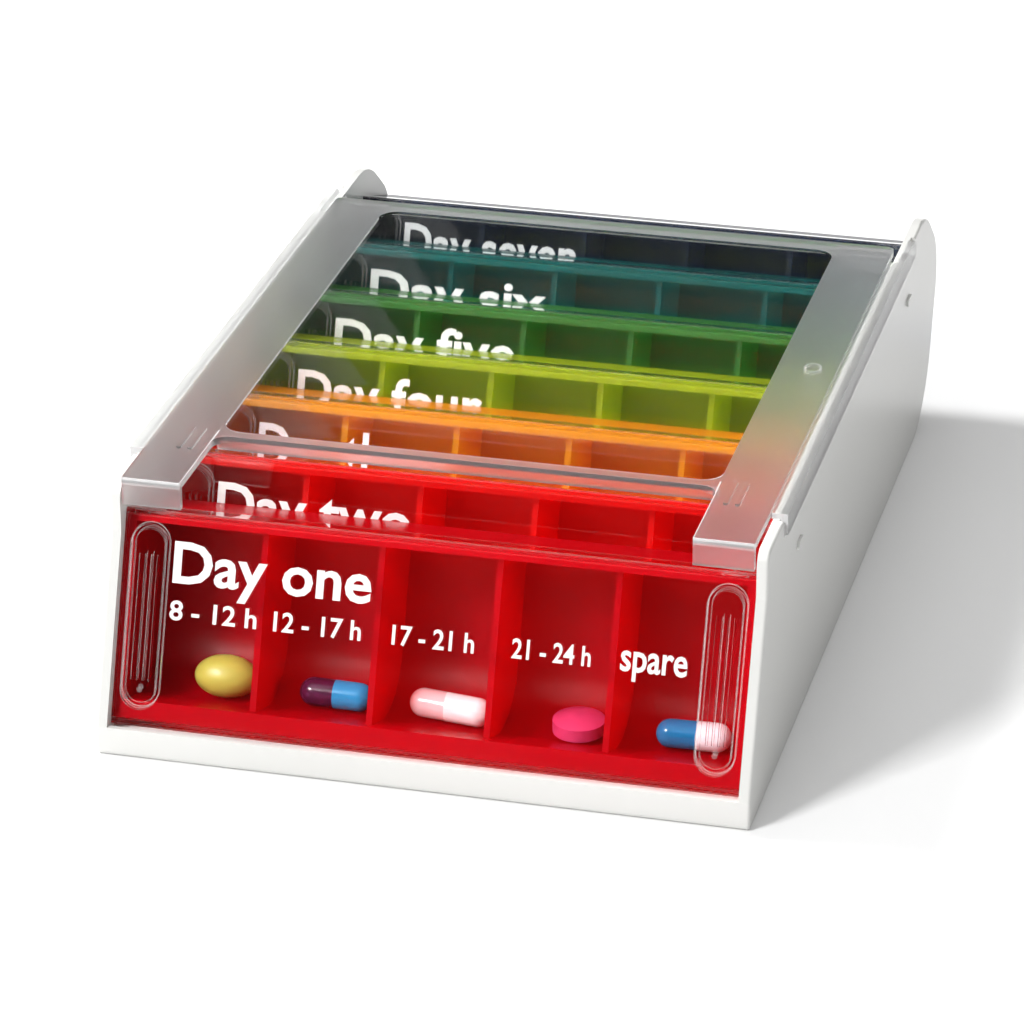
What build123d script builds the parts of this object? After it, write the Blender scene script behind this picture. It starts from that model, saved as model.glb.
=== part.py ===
from build123d import *
import os
from math import cos, radians, sin, tan

os.makedirs("parts", exist_ok=True)

# Weekly pill organizer: seven leaning day trays stand one behind the other in an open rack,
# each with its own sliding front cover, under one clear lid that hinges at the rear.
# Millimetres and degrees. +X is to the right, +Y runs from the lip to the rear, +Z is up.

days = ["monday", "tuesday", "wednesday", "thursday", "friday", "saturday", "sunday"]

# Rack
rack_width = 126.0
wall = 2.2
floor = 1.5
lip_height = 5.9
lip_thickness = 1.4
lip_round = 0.4
foot_round = 1.0
floor_round = 0.8
back_thickness = 1.8
back_height = 25.0
rear_radius = 22.0
nose_drop = 9.2
nose_radius = 4.0
nose_top_round = 3.0
rib_thickness = 1.6
edge_round = 0.6
bump_length = 4.5
bump_height = 1.5
bump_depth = 0.5
bump_drop = 11.4
bump_front_inset = 15.0
bump_end_inset = 3.0

# Trays and their places
lean = 20.5
tray_setback = 1.5
tray_height = 41.5
tray_depth = 25.0
tray_gap = 0.38
end_gap = 0.3
skin = 1.4
end_wall = 1.8
divider = 1.2
compartments = 5
end_bay_extra = 2.425
divider_recess = 3.0
inner_floor = 5.0
sole_flat = 2.3
top_wall = 1.3
heel_depth = 6.5
heel_round = 0.5
step_round = 0.3
bay_top_round = 1.0

# Sliding covers
cover_plate = 1.3
cover_foot = 0.2
rail = 1.0
top_rail_depth = 8.0
bottom_rail_depth = 6.0
hook = 0.5
hook_width = 1.0
slide_gap = 0.2
hook_round = 0.2
cover_foot_round = 0.4
cover_top_round = 0.5
grip_width = 7.7
grip_height = 35.3
grip_inset = 5.1
grip_foot = 3.2
grip_depth = 0.55
grip_groove = 0.9
grip_ribs = 4
grip_rib_width = 0.45
grip_rib_pitch = 1.15
grip_rib_length = 24.0

# Lid
headroom = 5.5
lid_gap = 0.2
flange = 1.1
panel = 1.4
panel_step = 0.6
side_gap = 0.35
skirt_depth = 4.5
skirt_thickness = 1.25
skirt_gap = 0.3
skirt_proud = 0.6
skirt_round = 1.0
flange_front = 28.0
flange_rear_gap = 13.75
panel_rear_gap = 6.95
hinge_ahead = 1.65
band = 11.75
rear_band = 5.0
cut_depth = 22.3
cut_round = 3.0
cut_gap = 0.2
lid_round = 1.5
arm_taper = 0.1
catch_length = 5.5
catch_thickness = 1.2
bar_depth = 2.9
bar_width = 2.5
bar_thickness = 1.4
bar_round = 0.6
window_recess = 0.5
window_radius = 4.0
arm_rib_inset = 4.0
arm_rib_length = 10.0
arm_rib_width = 1.0
arm_rib_height = 0.4
arm_rib_pitch = 2.2

# Hinge
pin_radius = 1.0
pin_clearance = 0.05
pin_reach = 0.2
hinge_rise = 1.5
rebate_rear_gap = 2.4
rounding_slack = 0.01
shoulder_run = 18.4
shoulder_radius = 22.0
hip_drop = 15.5
hip_radius = 14.0

# Worked out from the sizes above
slope = tan(radians(lean))
up_y, up_z = sin(radians(lean)), cos(radians(lean))
pitch = (tray_depth + tray_gap) / up_z
last_front = tray_setback + (len(days) - 1) * pitch
rear_base = last_front + pitch + back_thickness / up_z
tray_top = lip_height + tray_height * up_z
wall_top = tray_top + headroom
flange_top = wall_top + lid_gap + flange
panel_top = flange_top + panel_step
panel_bottom = panel_top - panel
skirt_bottom = flange_top - skirt_depth
hinge_y = last_front + hinge_ahead
hinge_z = skirt_bottom + hinge_rise
skirt_rear = hinge_y + hinge_rise
half = rack_width / 2
inner_half = half - wall
tray_half = inner_half - end_gap
skirt_outer = half + skirt_proud
skirt_inner = skirt_outer - skirt_thickness
rebate_face = skirt_inner - skirt_gap
panel_half = inner_half - side_gap
window_half = panel_half - band


def rear_at(z):
    """How far behind the lip the rack's leaning rear edge is at a height."""
    return rear_base + (z - lip_height) * slope


# The side walls' outline: lip, leaning nose, level rim that runs on behind the hinge, round rear
nose_z = wall_top - nose_drop
hip_z = wall_top - hip_drop
wall_outline = [
    (0, 0),
    (0, lip_height),
    ((nose_z - lip_height) * slope, nose_z),
    ((nose_z - lip_height) * slope, wall_top),
    (hinge_y + shoulder_run, wall_top),
    (rear_at(hip_z), hip_z),
    (rear_at(0), 0),
]
wall_radii = [foot_round, 0, nose_radius, nose_top_round, shoulder_radius, hip_radius, rear_radius]

with BuildSketch(Plane.YZ) as wall_side:
    with BuildLine():
        FilletPolyline(*wall_outline, radius=wall_radii, close=True)
    make_face()

# The frame's origin is under the middle of the rack, so everything starts half a length ahead
length = wall_side.sketch.bounding_box().max.Y
front = -length / 2
side_plane = Plane(origin=(0, front, 0), x_dir=(0, 1, 0), z_dir=(1, 0, 0))
plan = Plane(origin=(0, front, 0))


def tray_plane(index):
    """A section of one tray: x runs into the tray, y runs up it and the normal is +X."""
    place = (0, front + tray_setback + index * pitch, lip_height)
    return Plane(origin=place, x_dir=(0, up_z, -up_y), z_dir=(1, 0, 0))


def cover_plane(index):
    """The front face of one cover: x runs to the right, y runs up and the normal faces out."""
    place = (0, front + tray_setback + index * pitch, lip_height)
    return Plane(origin=place, x_dir=(1, 0, 0), z_dir=(0, -up_z, up_y))


# Rack: two walls, a tub between them that carries the lip, and ribs that the trays stand on
heel_top = cover_foot + rail + slide_gap
outer_radius = tray_depth - heel_depth - 2 * skin - sole_flat
inner_radius = outer_radius - skin
scoop_u = tray_depth - outer_radius
scoop_v = inner_floor + inner_radius
sole = inner_floor - skin
tub_points = [
    (0, lip_height),
    (0, 0),
    (rear_at(0), 0),
    (rear_at(back_height), back_height),
    (rear_at(back_height) - back_thickness / up_z, back_height),
    (rear_at(floor) - back_thickness / up_z, floor),
    (lip_thickness, floor),
    (lip_thickness, lip_height),
]
tub_radii = [
    0, foot_round, rear_radius, edge_round, edge_round,
    rear_radius - back_thickness, floor_round, lip_round,
]

with BuildPart() as rack:
    for place in (-half + wall / 2, half - wall / 2):
        with BuildSketch(side_plane.offset(place)):
            with BuildLine():
                FilletPolyline(*wall_outline, radius=wall_radii, close=True)
            make_face()
        extrude(amount=wall / 2, both=True)
    outer_faces = rack.faces().filter_by(Axis.X).group_by(Axis.X)
    fillet(outer_faces[0].edges() + outer_faces[-1].edges(), radius=edge_round)
    with BuildSketch(side_plane):
        with BuildLine():
            FilletPolyline(*tub_points, radius=tub_radii, close=True)
        make_face()
    extrude(amount=inner_half, both=True)
    for index in range(len(days)):
        section = tray_plane(index)
        heel = section.from_local_coords((heel_depth / 2, cover_foot, 0))
        keel = section.from_local_coords((scoop_u, scoop_v, 0))
        rests = [
            (heel.Y, heel.Z - rib_thickness / 2 * slope - tray_gap),
            (keel.Y, keel.Z - outer_radius - tray_gap),
        ]
        for rest_y, rest_z in rests:
            with BuildSketch(Plane.XY.offset(floor / 2)):
                with Locations((0, rest_y)):
                    Rectangle(2 * inner_half, rib_thickness)
            extrude(amount=rest_z - floor / 2)
    # Rebate that the lid's skirt lies in, and the holes for its two pins
    with BuildSketch(side_plane.offset(rebate_face)):
        with BuildLine():
            rebate_y, rebate_z = flange_front - skirt_gap, skirt_bottom - skirt_gap
            rebate_end = skirt_rear + rebate_rear_gap
            FilletPolyline(
                (rebate_y, rebate_z), (rebate_end, rebate_z),
                (rebate_end, 2 * wall_top), (rebate_y, 2 * wall_top),
                radius=[0, hinge_rise, 0, 0], close=True,
            )
        make_face()
    rebate = extrude(amount=wall, mode=Mode.SUBTRACT)
    mirror(rebate, about=Plane.YZ, mode=Mode.SUBTRACT)
    with BuildSketch(side_plane.offset(-half)):
        with Locations((hinge_y, hinge_z)):
            Circle(pin_radius + pin_clearance)
    extrude(amount=rack_width, mode=Mode.SUBTRACT)
    # Small bumps outside each wall, under the lid's skirt
    for face, way in ((half, 1), (-half, -1)):
        with BuildSketch(side_plane.offset(face - way * bump_depth)):
            bump_z = wall_top - bump_drop
            with Locations((flange_front + bump_front_inset, bump_z), (hinge_y - bump_end_inset, bump_z)):
                SlotOverall(bump_length, bump_height)
        extrude(amount=2 * way * bump_depth)
rack.part.label = "rack"
export_step(rack.part, "parts/rack.step")

# Lid: frosted frame with a clear window, arms with catches at the front, skirts and hinge pins
fold_y = (nose_z - lip_height) * slope
lid_rear = hinge_y - panel_rear_gap
cut_y = fold_y + cut_depth
cut_half = window_half + cut_gap
flange_rear = hinge_y - flange_rear_gap

with BuildPart() as lid:
    with BuildSketch(plan.offset(panel_bottom)):
        with BuildLine():
            FilletPolyline(
                (-panel_half, lid_rear), (panel_half, lid_rear), (panel_half, flange_front),
                (panel_half - arm_taper, fold_y), (cut_half, fold_y), (cut_half, cut_y),
                (-cut_half, cut_y), (-cut_half, fold_y), (-panel_half + arm_taper, fold_y),
                (-panel_half, flange_front),
                radius=[lid_round, lid_round, 0, 0, 0, cut_round, cut_round, 0, 0, 0], close=True,
            )
        make_face()
    extrude(amount=panel)
    # Window, a shallow clear field inside the frosted frame
    window_front = cut_y + bar_width
    window_rear = lid_rear - rear_band
    with BuildSketch(plan.offset(panel_top)):
        with Locations((0, (window_front + window_rear) / 2)):
            RectangleRounded(2 * window_half, window_rear - window_front, window_radius)
    extrude(amount=-window_recess, mode=Mode.SUBTRACT)
    # Bar that turns down along the cut-out, and the lip that turns down at the rear
    for bar_y, bar_half in ((cut_y, cut_half), (lid_rear - bar_thickness, window_half)):
        with BuildSketch(plan.offset(panel_bottom)):
            with Locations((0, bar_y + bar_thickness / 2)):
                RectangleRounded(2 * bar_half, bar_thickness, bar_round)
        extrude(amount=panel - bar_depth)
    # Flanges over the wall tops, skirts outside the walls and pins that point inwards
    for way in (-1, 1):
        with BuildSketch(plan.offset(flange_top - flange)):
            with Locations((way * (panel_half + skirt_outer) / 2, (flange_front + flange_rear) / 2)):
                Rectangle(skirt_outer - panel_half, flange_rear - flange_front)
        extrude(amount=flange)
        with BuildSketch(side_plane.offset(way * skirt_inner)):
            with BuildLine():
                under_round = hinge_rise - rounding_slack
                over_round = skirt_depth - hinge_rise - rounding_slack
                FilletPolyline(
                    (flange_front, skirt_bottom), (skirt_rear, skirt_bottom),
                    (skirt_rear, flange_top), (flange_front, flange_top),
                    radius=[skirt_round, under_round, over_round, 0], close=True,
                )
            make_face()
        extrude(amount=way * skirt_thickness)
        with BuildSketch(side_plane.offset(way * skirt_inner)):
            with Locations((hinge_y, hinge_z)):
                Circle(pin_radius)
        extrude(amount=-way * (skirt_inner - inner_half + pin_reach))
    # Catch plates, which hang in front of the first tray, level with the walls' noses
    catch_plane = Plane(origin=(0, front + fold_y, panel_top), x_dir=(1, 0, 0), z_dir=(0, -1, 0))
    for way in (-1, 1):
        with BuildSketch(catch_plane):
            catch_outer = panel_half - arm_taper
            with Locations((way * (cut_half + catch_outer) / 2, -catch_length / 2)):
                Rectangle(catch_outer - cut_half, catch_length)
        extrude(amount=-catch_thickness)
        with BuildSketch(plan.offset(panel_top)):
            for side in (-1, 1):
                rib_x = way * (cut_half + arm_rib_inset) + side * arm_rib_pitch / 2
                with Locations((rib_x, flange_front + arm_rib_length / 2)):
                    SlotOverall(arm_rib_length, arm_rib_width, rotation=90)
        extrude(amount=arm_rib_height)
lid.part.label = "lid"
export_step(lid.part, "parts/lid.step")

# Trays: five open-fronted compartments with a scooped floor, stepped for the cover's rails
body_front = cover_plate + slide_gap
top_step = tray_height - rail - slide_gap
inner_top = top_step - top_wall
inner_end = tray_half - end_wall
inner_back = tray_depth - skin
tray_section = [
    (body_front, heel_top),
    (bottom_rail_depth - hook_width - slide_gap, heel_top),
    (bottom_rail_depth - hook_width - slide_gap, heel_top + hook),
    (bottom_rail_depth + slide_gap, heel_top + hook),
    (bottom_rail_depth + slide_gap, heel_top),
    (heel_depth + skin, heel_top),
    (heel_depth + 2 * skin, sole),
    (tray_depth, sole),
    (tray_depth, tray_height),
    (top_rail_depth + slide_gap, tray_height),
    (top_rail_depth + slide_gap, top_step - hook),
    (top_rail_depth - hook_width - slide_gap, top_step - hook),
    (top_rail_depth - hook_width - slide_gap, top_step),
    (body_front, top_step),
]
tray_radii = [
    step_round, 0, 0, 0, 0, heel_round, 0, outer_radius,
    edge_round, step_round, 0, 0, 0, step_round,
]
bay_pitch = (2 * inner_end + divider - 2 * end_bay_extra) / compartments
dividers = [(number - compartments / 2 + 1) * bay_pitch for number in range(compartments - 1)]
bay_starts = [-inner_end] + [place + divider / 2 for place in dividers]
bay_ends = [place - divider / 2 for place in dividers] + [inner_end]

for index, day in enumerate(days):
    section = tray_plane(index)
    with BuildPart() as tray:
        with BuildSketch(section):
            with BuildLine():
                FilletPolyline(*tray_section, radius=tray_radii, close=True)
            make_face()
        extrude(amount=tray_half, both=True)
        for bay_start, bay_end in zip(bay_starts, bay_ends):
            with BuildSketch(section.offset(bay_start)):
                with BuildLine():
                    FilletPolyline(
                        (0, inner_floor), (inner_back, inner_floor),
                        (inner_back, inner_top), (0, inner_top),
                        radius=[0, inner_radius, bay_top_round, 0], close=True,
                    )
                make_face()
            extrude(amount=bay_end - bay_start, mode=Mode.SUBTRACT)
        with BuildSketch(section.offset(-inner_end)):
            with Locations((body_front, inner_floor)):
                Rectangle(divider_recess, inner_top - inner_floor, align=Align.MIN)
        extrude(amount=2 * inner_end, mode=Mode.SUBTRACT)
    tray.part.label = f"{day}_tray"
    export_step(tray.part, f"parts/{day}_tray.step")

# Covers: a clear plate that hooks over the tray's top and bottom edges and slides sideways
cover_section = [
    (0, cover_foot),
    (bottom_rail_depth, cover_foot),
    (bottom_rail_depth, cover_foot + rail + hook),
    (bottom_rail_depth - hook_width, cover_foot + rail + hook),
    (bottom_rail_depth - hook_width, cover_foot + rail),
    (cover_plate, cover_foot + rail),
    (cover_plate, tray_height - rail),
    (top_rail_depth - hook_width, tray_height - rail),
    (top_rail_depth - hook_width, tray_height - rail - hook),
    (top_rail_depth, tray_height - rail - hook),
    (top_rail_depth, tray_height),
    (0, tray_height),
]
cover_radii = [
    cover_foot_round, hook_round, hook_round, hook_round, 0, 0, 0, 0,
    hook_round, hook_round, hook_round, cover_top_round,
]
grip_middle = cover_foot + grip_foot + grip_height / 2

for index, day in enumerate(days):
    section = tray_plane(index)
    face = cover_plane(index)
    with BuildPart() as cover:
        with BuildSketch(section):
            with BuildLine():
                FilletPolyline(*cover_section, radius=cover_radii, close=True)
            make_face()
        extrude(amount=tray_half, both=True)
        # Finger grips, a ring groove round a few straight ones, so nothing stands in front of the plate
        grip_places = [(-tray_half + grip_inset, grip_middle), (tray_half - grip_inset, grip_middle)]
        with BuildSketch(face):
            with Locations(*grip_places):
                SlotOverall(grip_height, grip_width, rotation=90)
                inner_size = grip_height - 2 * grip_groove, grip_width - 2 * grip_groove
                SlotOverall(*inner_size, rotation=90, mode=Mode.SUBTRACT)
                with GridLocations(grip_rib_pitch, 0, grip_ribs, 1):
                    Rectangle(grip_rib_width, grip_rib_length)
        extrude(amount=-grip_depth, mode=Mode.SUBTRACT)
    cover.part.label = f"{day}_cover"
    export_step(cover.part, f"parts/{day}_cover.step")

# Sample tablets and capsules, one in each bay of the first tray, on its scooped floor.
# A capsule's row holds its length, place across the bay and turn.
bay_pills = ["yellow_oval_pill", "dark_blue_capsule", "white_pink_capsule", "pink_tablet", "blue_white_capsule"]
capsule_radius = 2.8
pill_rest_gap = 0.1
bend = tray_plane(0).from_local_coords((scoop_u, scoop_v, 0))


def pill_place(x, half_height):
    """Where a pill's middle is when it lies on the scoop's lowest line."""
    return (x, bend.Y, bend.Z - inner_radius + half_height + pill_rest_gap)


bay_middles = [(low + high) / 2 for low, high in zip(bay_starts, bay_ends)]
bay_widths = [high - low for low, high in zip(bay_starts, bay_ends)]


def pill_x(name, pill_length, share):
    """The middle of a pill in its bay: share is how much of the free way it lies to the right."""
    number = bay_pills.index(name)
    return bay_middles[number] + share * (bay_widths[number] - pill_length) / 2


capsules = [
    ("dark_blue_capsule", 14.6, 0.59, -2.0),
    ("white_pink_capsule", 16.4, 0.65, -8.0),
    ("blue_white_capsule", 14.4, 0.4, 2.0),
]
for name, capsule_length, share, turn in capsules:
    x = pill_x(name, capsule_length, share)
    place = Plane(origin=pill_place(x, capsule_radius + pill_rest_gap)).rotated((0, 0, turn))
    with BuildPart() as capsule:
        with BuildSketch(place):
            SlotOverall(capsule_length, 2 * capsule_radius)
            Rectangle(2 * capsule_length, capsule_radius, align=(Align.CENTER, Align.MAX), mode=Mode.SUBTRACT)
        revolve(axis=Axis(place.origin, place.x_dir))
    capsule.part.label = name
    export_step(capsule.part, f"parts/{name}.step")

# A round tablet with domed faces, and an oval pill
tablet_radius = 5.0
tablet_band = 2.4
tablet_dome = 1.2
tablet_share = 0.667
with BuildPart() as tablet:
    place = pill_place(pill_x("pink_tablet", 2 * tablet_radius, tablet_share), tablet_band / 2 + tablet_dome)
    with BuildSketch(Plane(origin=place, x_dir=(1, 0, 0), z_dir=(0, -1, 0))):
        with BuildLine():
            top = (0, tablet_band / 2 + tablet_dome)
            rim = (tablet_radius, tablet_band / 2)
            foot = (tablet_radius, -tablet_band / 2)
            bottom = (0, -tablet_band / 2 - tablet_dome)
            dome_radius = (tablet_radius**2 + tablet_dome**2) / (2 * tablet_dome)
            RadiusArc(top, rim, dome_radius)
            Line(rim, foot)
            RadiusArc(foot, bottom, dome_radius)
            Line(bottom, top)
        make_face()
    revolve(axis=Axis(place, (0, 0, 1)))
tablet.part.label = "pink_tablet"
export_step(tablet.part, "parts/pink_tablet.step")

oval_half = (6.25, 4.4, 4.1)
oval_share = 0.73
oval_place = Location(pill_place(pill_x("yellow_oval_pill", 2 * oval_half[0], oval_share), oval_half[2]))
oval_shape = oval_place * scale(Sphere(1), by=oval_half)
with BuildPart() as oval:
    add(oval_shape)
oval.part.label = "yellow_oval_pill"
export_step(oval.part, "parts/yellow_oval_pill.step")
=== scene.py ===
# %% [markdown]
# This lesson dresses a weekly pill organizer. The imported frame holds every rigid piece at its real
# size: a white rack, seven coloured day trays, their clear sliding covers, sample pills and one
# clear lid. Blender adds the finishes, the printed marks, the light and the camera.

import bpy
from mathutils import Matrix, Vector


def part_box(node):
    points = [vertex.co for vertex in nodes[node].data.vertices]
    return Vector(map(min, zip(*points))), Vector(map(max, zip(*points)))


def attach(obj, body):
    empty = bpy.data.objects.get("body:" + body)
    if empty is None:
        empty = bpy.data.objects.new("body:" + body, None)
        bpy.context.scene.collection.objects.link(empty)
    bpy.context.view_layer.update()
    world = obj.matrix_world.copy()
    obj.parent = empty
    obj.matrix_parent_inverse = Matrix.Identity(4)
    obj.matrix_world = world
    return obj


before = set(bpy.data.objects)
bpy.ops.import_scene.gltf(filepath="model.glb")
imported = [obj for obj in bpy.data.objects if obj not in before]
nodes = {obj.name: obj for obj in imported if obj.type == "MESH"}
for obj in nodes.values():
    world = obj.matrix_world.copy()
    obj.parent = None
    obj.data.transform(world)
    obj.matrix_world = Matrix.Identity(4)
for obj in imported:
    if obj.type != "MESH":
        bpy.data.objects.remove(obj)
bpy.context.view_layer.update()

import math

import bmesh
import bpy
from mathutils import Matrix, Vector

MM = 0.001
days = ["monday", "tuesday", "wednesday", "thursday", "friday", "saturday", "sunday"]

# %% [markdown]
# The printed marks and the painted highlights on the grips have to know how far the trays lean
# back. That angle is a driving size of the object. A place that the frame can tell is read from it
# instead of typed in, so the looks follow the construction.

# %% Sizes that the pieces share
lean = math.radians(20.5)
up_the_tray = Vector((0, math.sin(lean), math.cos(lean)))
out_of_the_tray = Vector((0, -math.cos(lean), math.sin(lean)))
front_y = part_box("rack")[0][1]
lid_low, lid_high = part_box("lid")
print("front of the lip at y =", round(front_y, 5))

# %% [markdown]
# The camera stands in front and to the right, well above the lid, with a long lens, so the
# organizer shows its front, its top and a narrow strip of its right wall. It could be aimed with a
# Track To constraint. Its place and its three turns are written down instead, because they were
# fitted to the object's edges in the photograph.

# %% Camera
camera_data = bpy.data.cameras.new("camera")
camera = bpy.data.objects.new("camera", camera_data)
bpy.context.collection.objects.link(camera)
bpy.context.scene.camera = camera
camera_data.sensor_width = 36.0
camera_data.lens = 163.56
camera_data.clip_end = 20.0
yaw, pitch, roll = math.radians(14.328), math.radians(25.543), math.radians(-0.2755)
camera_place = Vector((0.20527, front_y - 0.73175, 0.42094))
camera_turn = (
    Matrix.Rotation(yaw, 4, "Z")
    @ Matrix.Rotation(math.pi / 2 - pitch, 4, "X")
    @ Matrix.Rotation(roll, 4, "Z")
)
camera.matrix_world = Matrix.Translation(camera_place) @ camera_turn
print("camera at", [round(part, 3) for part in camera_place])

# %% [markdown]
# Shader maths could be wired up node by node, but it reads best as plain expressions. This small
# class wraps one socket. Adding or multiplying two of them adds the Math node, and any other node
# comes from the node method.


# %% The socket class
class Socket:
    """One output of a shader tree, with the operators that the finishes use."""

    def __init__(self, tree, output=None):
        self.tree = tree
        self.output = output

    def node(self, kind, settings=None, out=0, **values):
        """A new node: its settings, and a number or a Socket for each input (i0 is the first)."""
        made = self.tree.nodes.new("ShaderNode" + kind)
        for name, setting in (settings or {}).items():
            setattr(made, name, setting)
        for name, value in values.items():
            key = int(name[1:]) if name[1:].isdigit() else name.replace("_", " ")
            if isinstance(value, Socket):
                self.tree.links.new(value.output, made.inputs[key])
            else:
                made.inputs[key].default_value = value
        return Socket(self.tree, made.outputs[out])

    def math(self, operation, *values):
        numbered = {f"i{number}": value for number, value in enumerate(values)}
        return self.node("Math", {"operation": operation}, **numbered)

    def __add__(self, other):
        return self.math("ADD", self, other)

    __radd__ = __add__

    def __sub__(self, other):
        return self.math("SUBTRACT", self, other)

    def __rsub__(self, other):
        return self.math("SUBTRACT", other, self)

    def __mul__(self, other):
        return self.math("MULTIPLY", self, other)

    __rmul__ = __mul__

    def __gt__(self, other):
        return self.math("GREATER_THAN", self, other)

    def __lt__(self, other):
        return self.math("LESS_THAN", self, other)

    def __abs__(self):
        return self.math("ABSOLUTE", self)

    def larger(self, other):
        return self.math("MAXIMUM", self, other)

    def beside(self, number):
        """Another output of the same node."""
        return Socket(self.tree, self.output.node.outputs[number])

    def mix_shader(self, low, high):
        """One shader or the other, by this socket as the factor."""
        return self.node("MixShader", i0=self, i1=low, i2=high)

    def blend(self, low, high):
        """A colour between two others, by this socket as the factor."""
        made = self.tree.nodes.new("ShaderNodeMix")
        made.data_type = "RGBA"
        self.tree.links.new(self.output, made.inputs["Factor"])
        made.inputs[6].default_value = (*low, 1)
        made.inputs[7].default_value = (*high, 1)
        return Socket(self.tree, made.outputs[2])


# %% [markdown]
# Every finish starts as a Principled material with a few plain numbers. Four helpers do what the
# finishes share: one makes the material, one links a pattern to a shader's input, one puts the
# faint waviness of moulded plastic on it as bump, and one gives a node its material.


# %% Helpers for the finishes
def new_material(name, **numbers):
    """A Principled material with plain numbers on its inputs; also its shader and a Socket."""
    material = bpy.data.materials.new(name)
    material.use_nodes = True
    shader = material.node_tree.nodes["Principled BSDF"]
    for key, value in numbers.items():
        shader.inputs[key.replace("_", " ")].default_value = value
    return material, shader, Socket(material.node_tree)


def feed(shader, name, source):
    """Links a Socket to one of the shader's inputs."""
    source.tree.links.new(source.output, shader.inputs[name])


def moulded(shader, tool, grain):
    """The faint waviness of a moulded surface; gives the place that patterns are read at."""
    place = tool.node("TexCoord", out=3)
    noise = tool.node("TexNoise", Vector=place, Scale=grain, Detail=3.0)
    feed(shader, "Normal", tool.node("Bump", Height=noise, Strength=0.15, Distance=0.02 * MM))
    return place


def dress(node, material):
    """Gives one of the frame's nodes a material in place of its own."""
    nodes[node].data.materials.clear()
    nodes[node].data.materials.append(material)


# %% [markdown]
# The trays, the covers and the lid let light through, and their shadows carry their tint.
# Refracted light takes many samples to show that. A quicker way is chosen: a Light Path node tells
# shadow rays apart, and only those meet a plain transparent shader in the shadow's colour.


# %% Light through plastic
def pass_shadows(material, tool, skin, through):
    """Shadow rays meet one shader and all other rays the skin."""
    both = tool.node("LightPath", out=1).mix_shader(skin, through)
    surface = material.node_tree.nodes["Material Output"].inputs["Surface"]
    tool.tree.links.new(both.output, surface)


# %% [markdown]
# The trays are injection moulded in strong colours. The plastic is glossy, and part of the light
# that meets a wall comes out of its other side in the wall's colour, so the hollows glow.
# Subsurface scattering is made for thick bodies, and these walls are thin, so a Translucent shader
# is mixed in instead. A soft, large noise keeps the colour from being dead flat.

# %% Tray plastics
tray_colours = {
    "monday": (0.47, 0.0005, 0.007),
    "tuesday": (0.62, 0.003, 0.003),
    "wednesday": (0.76, 0.31, 0.008),
    "thursday": (0.36, 0.42, 0.012),
    "friday": (0.05, 0.21, 0.042),
    "saturday": (0.006, 0.135, 0.13),
    "sunday": (0.018, 0.026, 0.050),
}
deepest = 0.82
shadow_strength = 0.72
glow_share, glow_gain, glow_most = 0.45, 1.7, 0.9


def tray_plastic(day, colour):
    material, shader, tool = new_material(
        f"{day}_plastic", Roughness=0.2, IOR=1.4, Coat_Weight=0.05, Coat_Roughness=0.05,
    )
    place = moulded(shader, tool, grain=2500.0)
    cloud = tool.node("TexNoise", Vector=place, Scale=40.0, Detail=2.0)
    feed(shader, "Base Color", cloud.blend([deepest * part for part in colour], colour))
    feed(shader, "Roughness", 0.16 + 0.1 * cloud)
    shadow = [shadow_strength * math.sqrt(part / max(colour)) for part in colour]
    glow = [min(glow_most, glow_gain * part) for part in colour]
    from_behind = tool.node("BsdfTranslucent", Color=(*glow, 1))
    front = Socket(tool.tree, shader.outputs[0])
    skin = tool.node("MixShader", i0=glow_share, i1=front, i2=from_behind)
    pass_shadows(material, tool, skin, tool.node("BsdfTransparent", Color=(*shadow, 1)))
    return material


for day, colour in tray_colours.items():
    dress(f"{day}_tray", tray_plastic(day, colour))
print("tray plastics:", len(tray_colours))

# %% [markdown]
# The rack is one white moulding with a satin skin. Its walls are thicker than the trays', and no
# coloured light shows through them, so a little subsurface scattering is enough to soften it.

# %% Rack plastic
rack_plastic, shader, tool = new_material(
    "rack_plastic", Roughness=0.32, IOR=1.5,
    Subsurface_Weight=0.12, Subsurface_Radius=(4.0 * MM, 4.0 * MM, 3.8 * MM),
)
place = moulded(shader, tool, grain=1500.0)
cloud = tool.node("TexNoise", Vector=place, Scale=25.0, Detail=2.0)
feed(shader, "Base Color", cloud.blend((0.67, 0.67, 0.645), (0.71, 0.71, 0.69)))
feed(shader, "Roughness", 0.28 + 0.1 * cloud)
dress("rack", rack_plastic)
print("rack plastic:", rack_plastic.name)

# %% [markdown]
# Clear plastic could be plain Alpha, but then it bends no light and its edges look dead. It is
# shaded as a solid that refracts. The lid is frosted in places: there its skin is rough and holds
# a little white, so what lies behind it blurs and pales. The skin is rough only where a ray meets
# it from outside, because a rough underside would scatter the light a second time.

# %% Clear plastic
clear, frosted_clear = (0.97, 0.975, 0.975), (0.93, 0.935, 0.93)
frost_rough, frost_grain = 0.30, 0.12
# The last of these is how much of the pale shader the gate mark and the painted highlights get
frost_white, frost_shade, mark_and_highlight_white = 0.08, 0.85, 0.2


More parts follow.
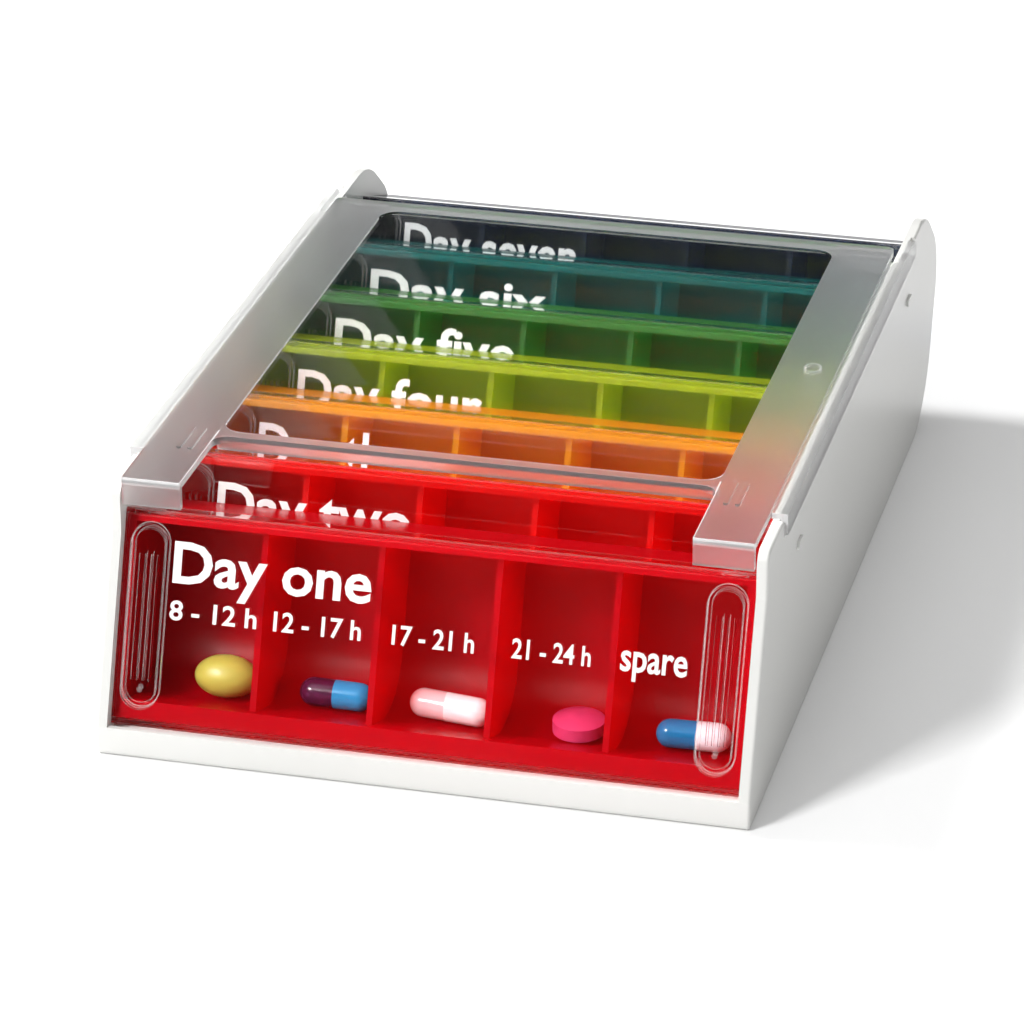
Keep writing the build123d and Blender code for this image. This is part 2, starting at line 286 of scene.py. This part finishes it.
def clear_plastic(name, roughness, shadow, frost=None, lines=None):
    """Clear plastic; frost and lines give Sockets that are 1 where it is frosted, and where it is
    painted pale: the lid's gate mark, or a painted highlight along an edge.
    """
    material, shader, tool = new_material(
        name, Base_Color=(*clear, 1), Roughness=roughness, IOR=1.45, Transmission_Weight=1.0,
    )
    place = tool.node("TexCoord", out=3)
    skin = Socket(tool.tree, shader.outputs[0])
    through = tool.node("BsdfTransparent", Color=(*shadow, 1))
    pale = tool.node("BsdfDiffuse", Color=(0.9, 0.89, 0.89, 1))
    if frost:
        grain = tool.node("TexNoise", Vector=place, Scale=2200.0, Detail=2.0)
        from_outside = 1.0 - tool.node("NewGeometry", out=6)
        frosted = frost(tool, place)
        outer_frost = frosted * from_outside
        feed(shader, "Roughness", roughness + outer_frost * (frost_rough + frost_grain * grain))
        feed(shader, "Base Color", frosted.blend(clear, frosted_clear))
        skin = (frost_white * outer_frost).mix_shader(skin, pale)
        dim = [frost_shade * part for part in shadow]
        through = frosted.mix_shader(through, tool.node("BsdfTransparent", Color=(*dim, 1)))
    # Painted highlights: where lines is 1, the pale shader is mixed into the skin, as if the edge
    # were lit
    if lines:
        skin = (mark_and_highlight_white * lines(tool, place)).mix_shader(skin, pale)
    pass_shadows(material, tool, skin, through)
    return material


# %% [markdown]
# The patterns on clear plastic could be painted images. They are worked out from the place on the
# object instead, so they have no size in pixels and stay sharp. Three helpers are all they need:
# a distance, how far a place lies past a straight part, and a line of a given width.


# %% Helpers for patterns
def distance(across, along):
    """How far a place is from a middle, from its two Sockets."""
    return across.math("SQRT", across * across + along * along)


def past(coordinate, half):
    """How far a coordinate is outside plus or minus a half size, and 0 inside it."""
    return (abs(coordinate) - half).larger(0.0)


def line(away, place, half_width):
    """1 within half a line's width of a place, and 0 beside it."""
    return abs(away - place) < half_width


# %% [markdown]
# The lid is one moulding: a clear window with rounded corners in a frosted frame. The mould's gate
# has left an oval line on the frame. The edges of its arms and the front ends of its skirts catch
# the light. Tiny bevels could do that, but they would be far thinner than a pixel, so the edges get
# a painted highlight instead, in the same pale shader as the gate's line.

# %% The lid's frost, its gate line and its painted edge highlights
window_half = 48.7 * MM
window_corner = 4.0 * MM
window_front = front_y + 37.9 * MM
window_back = front_y + 153.8 * MM
window_middle = (window_front + window_back) / 2
window_reach = (window_back - window_front) / 2
gate_x, gate_y = 55.6 * MM, front_y + 93.6 * MM
gate_radius, gate_line, gate_squeeze = 1.6 * MM, 0.22 * MM, 0.8
panel_bottom = lid_high[2] - 1.8 * MM
edge_foot = lid_high[2] - 0.9 * MM
edge_depth = 0.15 * MM
# How strong the painted highlight on the edges of the lid's arms and skirts is
edge_highlight_share, edge_highlight_low, edge_highlight_top = 3.0, 0.4, 0.6
arm_inner = window_half + 0.2 * MM
flange_front = front_y + 28.0 * MM
flange_inner = 60.6 * MM


def outside_the_window(tool, place):
    """1 on the lid's frame, its bars, flanges and skirts, and 0 in its window."""
    axes = tool.node("SeparateXYZ", Vector=place)
    side = past(axes.beside(0), window_half - window_corner)
    end = past(axes.beside(1) - window_middle, window_reach - window_corner)
    return distance(side, end) > window_corner


def gate_mark_and_edge_highlights(tool, place):
    """The gate's oval line, and the painted highlights on the edges of the arms and skirts."""
    axes = tool.node("SeparateXYZ", Vector=place)
    along, height = axes.beside(1), axes.beside(2)
    aside = abs(axes.beside(0))
    away = distance(axes.beside(0) - gate_x, gate_squeeze * (along - gate_y))
    gate = line(away, gate_radius, gate_line)
    # Painted highlight: the arms' front and inner edges and the skirts' front ends get the pale
    # shader, stronger near the top
    front = along < lid_low[1] + edge_depth
    inner = line(aside, arm_inner, edge_depth) * (along < window_front)
    high = edge_highlight_low * (height > panel_bottom) + edge_highlight_top * (height > edge_foot)
    arms = high * front.larger(inner)
    skirts = (along < flange_front + edge_depth) * (aside > flange_inner)
    return gate.larger(edge_highlight_share * arms.larger(skirts))


dress("lid", clear_plastic(
    "lid_plastic", 0.03, (0.88, 0.885, 0.88), outside_the_window, gate_mark_and_edge_highlights,
))
print("window", round(2 * window_half / MM, 1), "x", round(2 * window_reach / MM, 1), "mm")

# %% [markdown]
# Each cover is polished, with a finger grip at both ends: a long oval border with fine lines in
# it. The grips are cut into the plate already, and what is missing is the light that their edges
# catch, so painted highlights are drawn along them: two round each grip, two ribs and a dot at the
# foot.

# %% The covers' grips and their painted highlights
grip_middle = 55.4 * MM
grip_radius = 3.85 * MM
grip_straight = 13.8 * MM
grip_centre = (5.9 / math.cos(lean) + 21.05) * MM
rib_aside, rib_half, rib_line = 0.6 * MM, 12.0 * MM, 0.1 * MM
dot_radius = 0.55 * MM
# How strong the painted highlights on the inner border, the ribs and the dot are
inner_highlight_share, rib_highlight_share = 0.7, 0.6


def grip_edge_highlights(tool, place):
    """Painted highlights along a cover's finger grips: two borders round each, two ribs and a dot.
    """
    axes = tool.node("SeparateXYZ", Vector=place)
    across = abs(axes.beside(0)) - grip_middle
    up = axes.beside(2) * (1 / math.cos(lean)) - grip_centre
    away = distance(across, past(up, grip_straight))
    outer = line(away, grip_radius - 0.1 * MM, 0.13 * MM)
    inner = line(away, grip_radius - 0.85 * MM, 0.09 * MM)
    ribs = line(abs(across), rib_aside, rib_line) * (abs(up) < rib_half)
    dot = distance(across, up + grip_straight) < dot_radius
    return outer.larger(inner_highlight_share * inner).larger(rib_highlight_share * (ribs + dot))


cover_plastic = clear_plastic("cover_plastic", 0.01, (0.92, 0.92, 0.92), lines=grip_edge_highlights)
for day in days:
    dress(f"{day}_cover", cover_plastic)
print("covers:", len(days))

# %% [markdown]
# The pills are a yellow oval one, a pink tablet and three capsules of two colours. A capsule could
# be split into two objects, one for each half. Its colours meet at the cap's edge, so it is enough
# to choose the colour by the place along the capsule.


# %% Pill coatings
def coating(name, colour):
    material, shader, tool = new_material(name, Roughness=0.35, IOR=1.45)
    place = tool.node("TexCoord", out=3)
    cloud = tool.node("TexNoise", Vector=place, Scale=300.0, Detail=3.0)
    feed(shader, "Base Color", cloud.blend([0.85 * part for part in colour], colour))
    return material


def two_colours(name, node, share, left, right):
    """A capsule's coating, whose colours meet at a share of its length."""
    low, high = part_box(node)
    seam = low[0] + share * (high[0] - low[0])
    material, shader, tool = new_material(name, Roughness=0.18, IOR=1.45, Coat_Weight=0.4)
    axes = tool.node("SeparateXYZ", Vector=tool.node("TexCoord", out=3))
    feed(shader, "Base Color", (axes > seam).blend(left, right))
    return material


capsules = [
    ("dark_blue", 0.48, (0.07, 0.008, 0.035), (0.02, 0.20, 0.42)),
    ("white_pink", 0.45, (0.72, 0.42, 0.44), (0.80, 0.66, 0.68)),
    ("blue_white", 0.55, (0.012, 0.14, 0.33), (0.74, 0.66, 0.70)),
]
dress("yellow_oval_pill", coating("yellow_coating", (0.46, 0.39, 0.065)))
dress("pink_tablet", coating("pink_coating", (0.58, 0.035, 0.12)))
for name, share, left, right in capsules:
    node = f"{name}_capsule"
    dress(node, two_colours(f"{name}_gelatine", node, share, left, right))
print("pills:", 2 + len(capsules))

# %% [markdown]
# The covers carry white print. The words of the real ones aren't copied: each tray has its number
# in the week, and each compartment its hours. An image could carry the print, but it would blur
# close up, so each mark is a thin raised layer on the plate. It starts as a text object, becomes a
# mesh, and is stretched to the width that it has to fill, as condensed lettering is.

# %% Printed marks
print_white, shader, tool = new_material("print_white", Roughness=0.45, IOR=1.45)
cloud = tool.node("TexNoise", Vector=tool.node("TexCoord", out=3), Scale=600.0)
feed(shader, "Base Color", cloud.blend((0.78, 0.77, 0.77), (0.9, 0.9, 0.9)))
tray_top = 41.5 * MM
print_thickness = 0.04 * MM
print_lift = 0.01 * MM
letter_depth, curve_steps = 0.5, 3
day_numbers = ["one", "two", "three", "four", "five", "six", "seven"]
day_mark = {"start": -50.5, "end": -11.8, "foot": 28.35, "height": 7.7, "weight": 0.02}
hour_mark = {"foot": 21.2, "height": 3.7, "weight": 0.018}
hour_marks = [
    ("8 - 12 h", -50.6, -33.5), ("12 - 17 h", -30.2, -13.2), ("17 - 21 h", -7.2, 8.6),
    ("21 - 24 h", 15.8, 30.8), ("spare", 36.4, 49.0),
]


def face_of(node):
    """How far out and how far up a leaning cover's front face and top edge lie."""
    points = [nodes[node].matrix_world @ vertex.co for vertex in nodes[node].data.vertices]
    return max(p @ out_of_the_tray for p in points), max(p @ up_the_tray for p in points)


def lettering(shape, face, words, start, end, foot, height, weight):
    """Adds words to a mesh in the making, between two places across a cover, in millimetres."""
    text = bpy.data.curves.new("words", "FONT")
    text.body, text.offset = words, weight
    text.extrude, text.resolution_u = letter_depth, curve_steps
    letters = bpy.data.objects.new("words", text)
    bpy.context.collection.objects.link(letters)
    bpy.context.view_layer.update()
    mesh = bpy.data.meshes.new_from_object(letters)
    bpy.data.objects.remove(letters)
    across = [vertex.co.x for vertex in mesh.vertices]
    top = max(vertex.co.y for vertex in mesh.vertices)
    wide = (end - start) * MM / (max(across) - min(across))
    size = Matrix.Diagonal((wide, height * MM / top, print_thickness, 1))
    face_out, face_up = face
    foot_point = up_the_tray * (face_up - tray_top + foot * MM)
    foot_point += out_of_the_tray * (face_out + print_lift + print_thickness / 2)
    foot_point.x = start * MM - min(across) * wide
    turn = Matrix.Rotation(math.pi / 2 - lean, 4, "X")
    mesh.transform(Matrix.Translation(foot_point) @ turn @ size)
    shape.from_mesh(mesh)
    bpy.data.meshes.remove(mesh)


for day, number in zip(days, day_numbers):
    face = face_of(f"{day}_cover")
    shape = bmesh.new()
    lettering(shape, face, f"Day {number}", **day_mark)
    for hours, start, end in hour_marks:
        lettering(shape, face, hours, start, end, **hour_mark)
    mesh = bpy.data.meshes.new(f"{day}_print")
    shape.to_mesh(mesh)
    shape.free()
    mesh.materials.append(print_white)
    marks = bpy.data.objects.new(f"{day}_print", mesh)
    bpy.context.collection.objects.link(marks)
    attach(marks, f"{day}_cover")
    print(marks.name, len(mesh.polygons), "faces")

# %% [markdown]
# The organizer stands on a pale floor that runs out of the picture. One grid of a single face is
# enough for it.

# %% Floor
floor_half = 6.0
floor_mesh = bpy.data.meshes.new("floor")
shape = bmesh.new()
bmesh.ops.create_grid(shape, x_segments=1, y_segments=1, size=floor_half)
shape.to_mesh(floor_mesh)
shape.free()
floor = bpy.data.objects.new("floor", floor_mesh)
bpy.context.collection.objects.link(floor)
floor_paint, shader, tool = new_material(
    "floor_paint", Base_Color=(0.9, 0.9, 0.9, 1), Roughness=0.8,
)
floor_mesh.materials.append(floor_paint)
print("floor", 2 * floor_half, "m wide")

# %% [markdown]
# Two soft lights stand at the front left and the rear left, so only the floor that neither reaches
# is grey. The sky is bright overhead and dark lower down. One even sky would be simpler, but flat
# clear plastic mirrors the sky's low part, and a dark one keeps the colours under it deep.


# %% Light
def soft_light(name, azimuth, elevation, away, size, watts):
    """A square area light in a direction from the organizer, aimed at it."""
    lamp = bpy.data.lights.new(name, "AREA")
    lamp.energy, lamp.size = watts, size
    holder = bpy.data.objects.new(name, lamp)
    bpy.context.collection.objects.link(holder)
    azimuth, elevation = math.radians(azimuth), math.radians(elevation)
    level = math.cos(elevation)
    toward = Vector((level * math.cos(azimuth), level * math.sin(azimuth), math.sin(elevation)))
    turn = toward.to_track_quat("Z", "Y").to_matrix().to_4x4()
    holder.matrix_world = Matrix.Translation(toward * away) @ turn
    print(name, watts, "W")


soft_light("front_left_light", azimuth=233, elevation=38, away=1.5, size=0.3, watts=17)
soft_light("rear_left_light", azimuth=156, elevation=49, away=1.5, size=0.35, watts=17)

low_sky, high_sky = 0.022, 1.02
dark_to, bright_from = 0.52, 0.78
scene = bpy.context.scene
world = scene.world or bpy.data.worlds.new("world")
scene.world = world
world.use_nodes = True
sky = Socket(world.node_tree)
height = sky.node("SeparateXYZ", Vector=sky.node("TexCoord")).beside(2)
overhead = sky.node(
    "MapRange", {"interpolation_type": "SMOOTHSTEP"}, i0=height, i1=dark_to, i2=bright_from,
)
glow = world.node_tree.nodes["Background"]
feed(glow, "Strength", low_sky + high_sky * overhead)
glow.inputs["Color"].default_value = (1, 1, 1, 1)

# %% [markdown]
# A ray that crosses the lid and a cover meets many surfaces, and one that runs out of bounces
# turns black, so the limits are raised. The Filmic and AgX views would pale the trays' strong
# colours, and the Standard view keeps them.

# %% Render limits and view
scene.view_settings.view_transform = "Standard"
scene.cycles.max_bounces = 24
scene.cycles.transmission_bounces = 24
scene.cycles.glossy_bounces = 8
scene.cycles.transparent_max_bounces = 24
print("bounces:", scene.cycles.max_bounces)
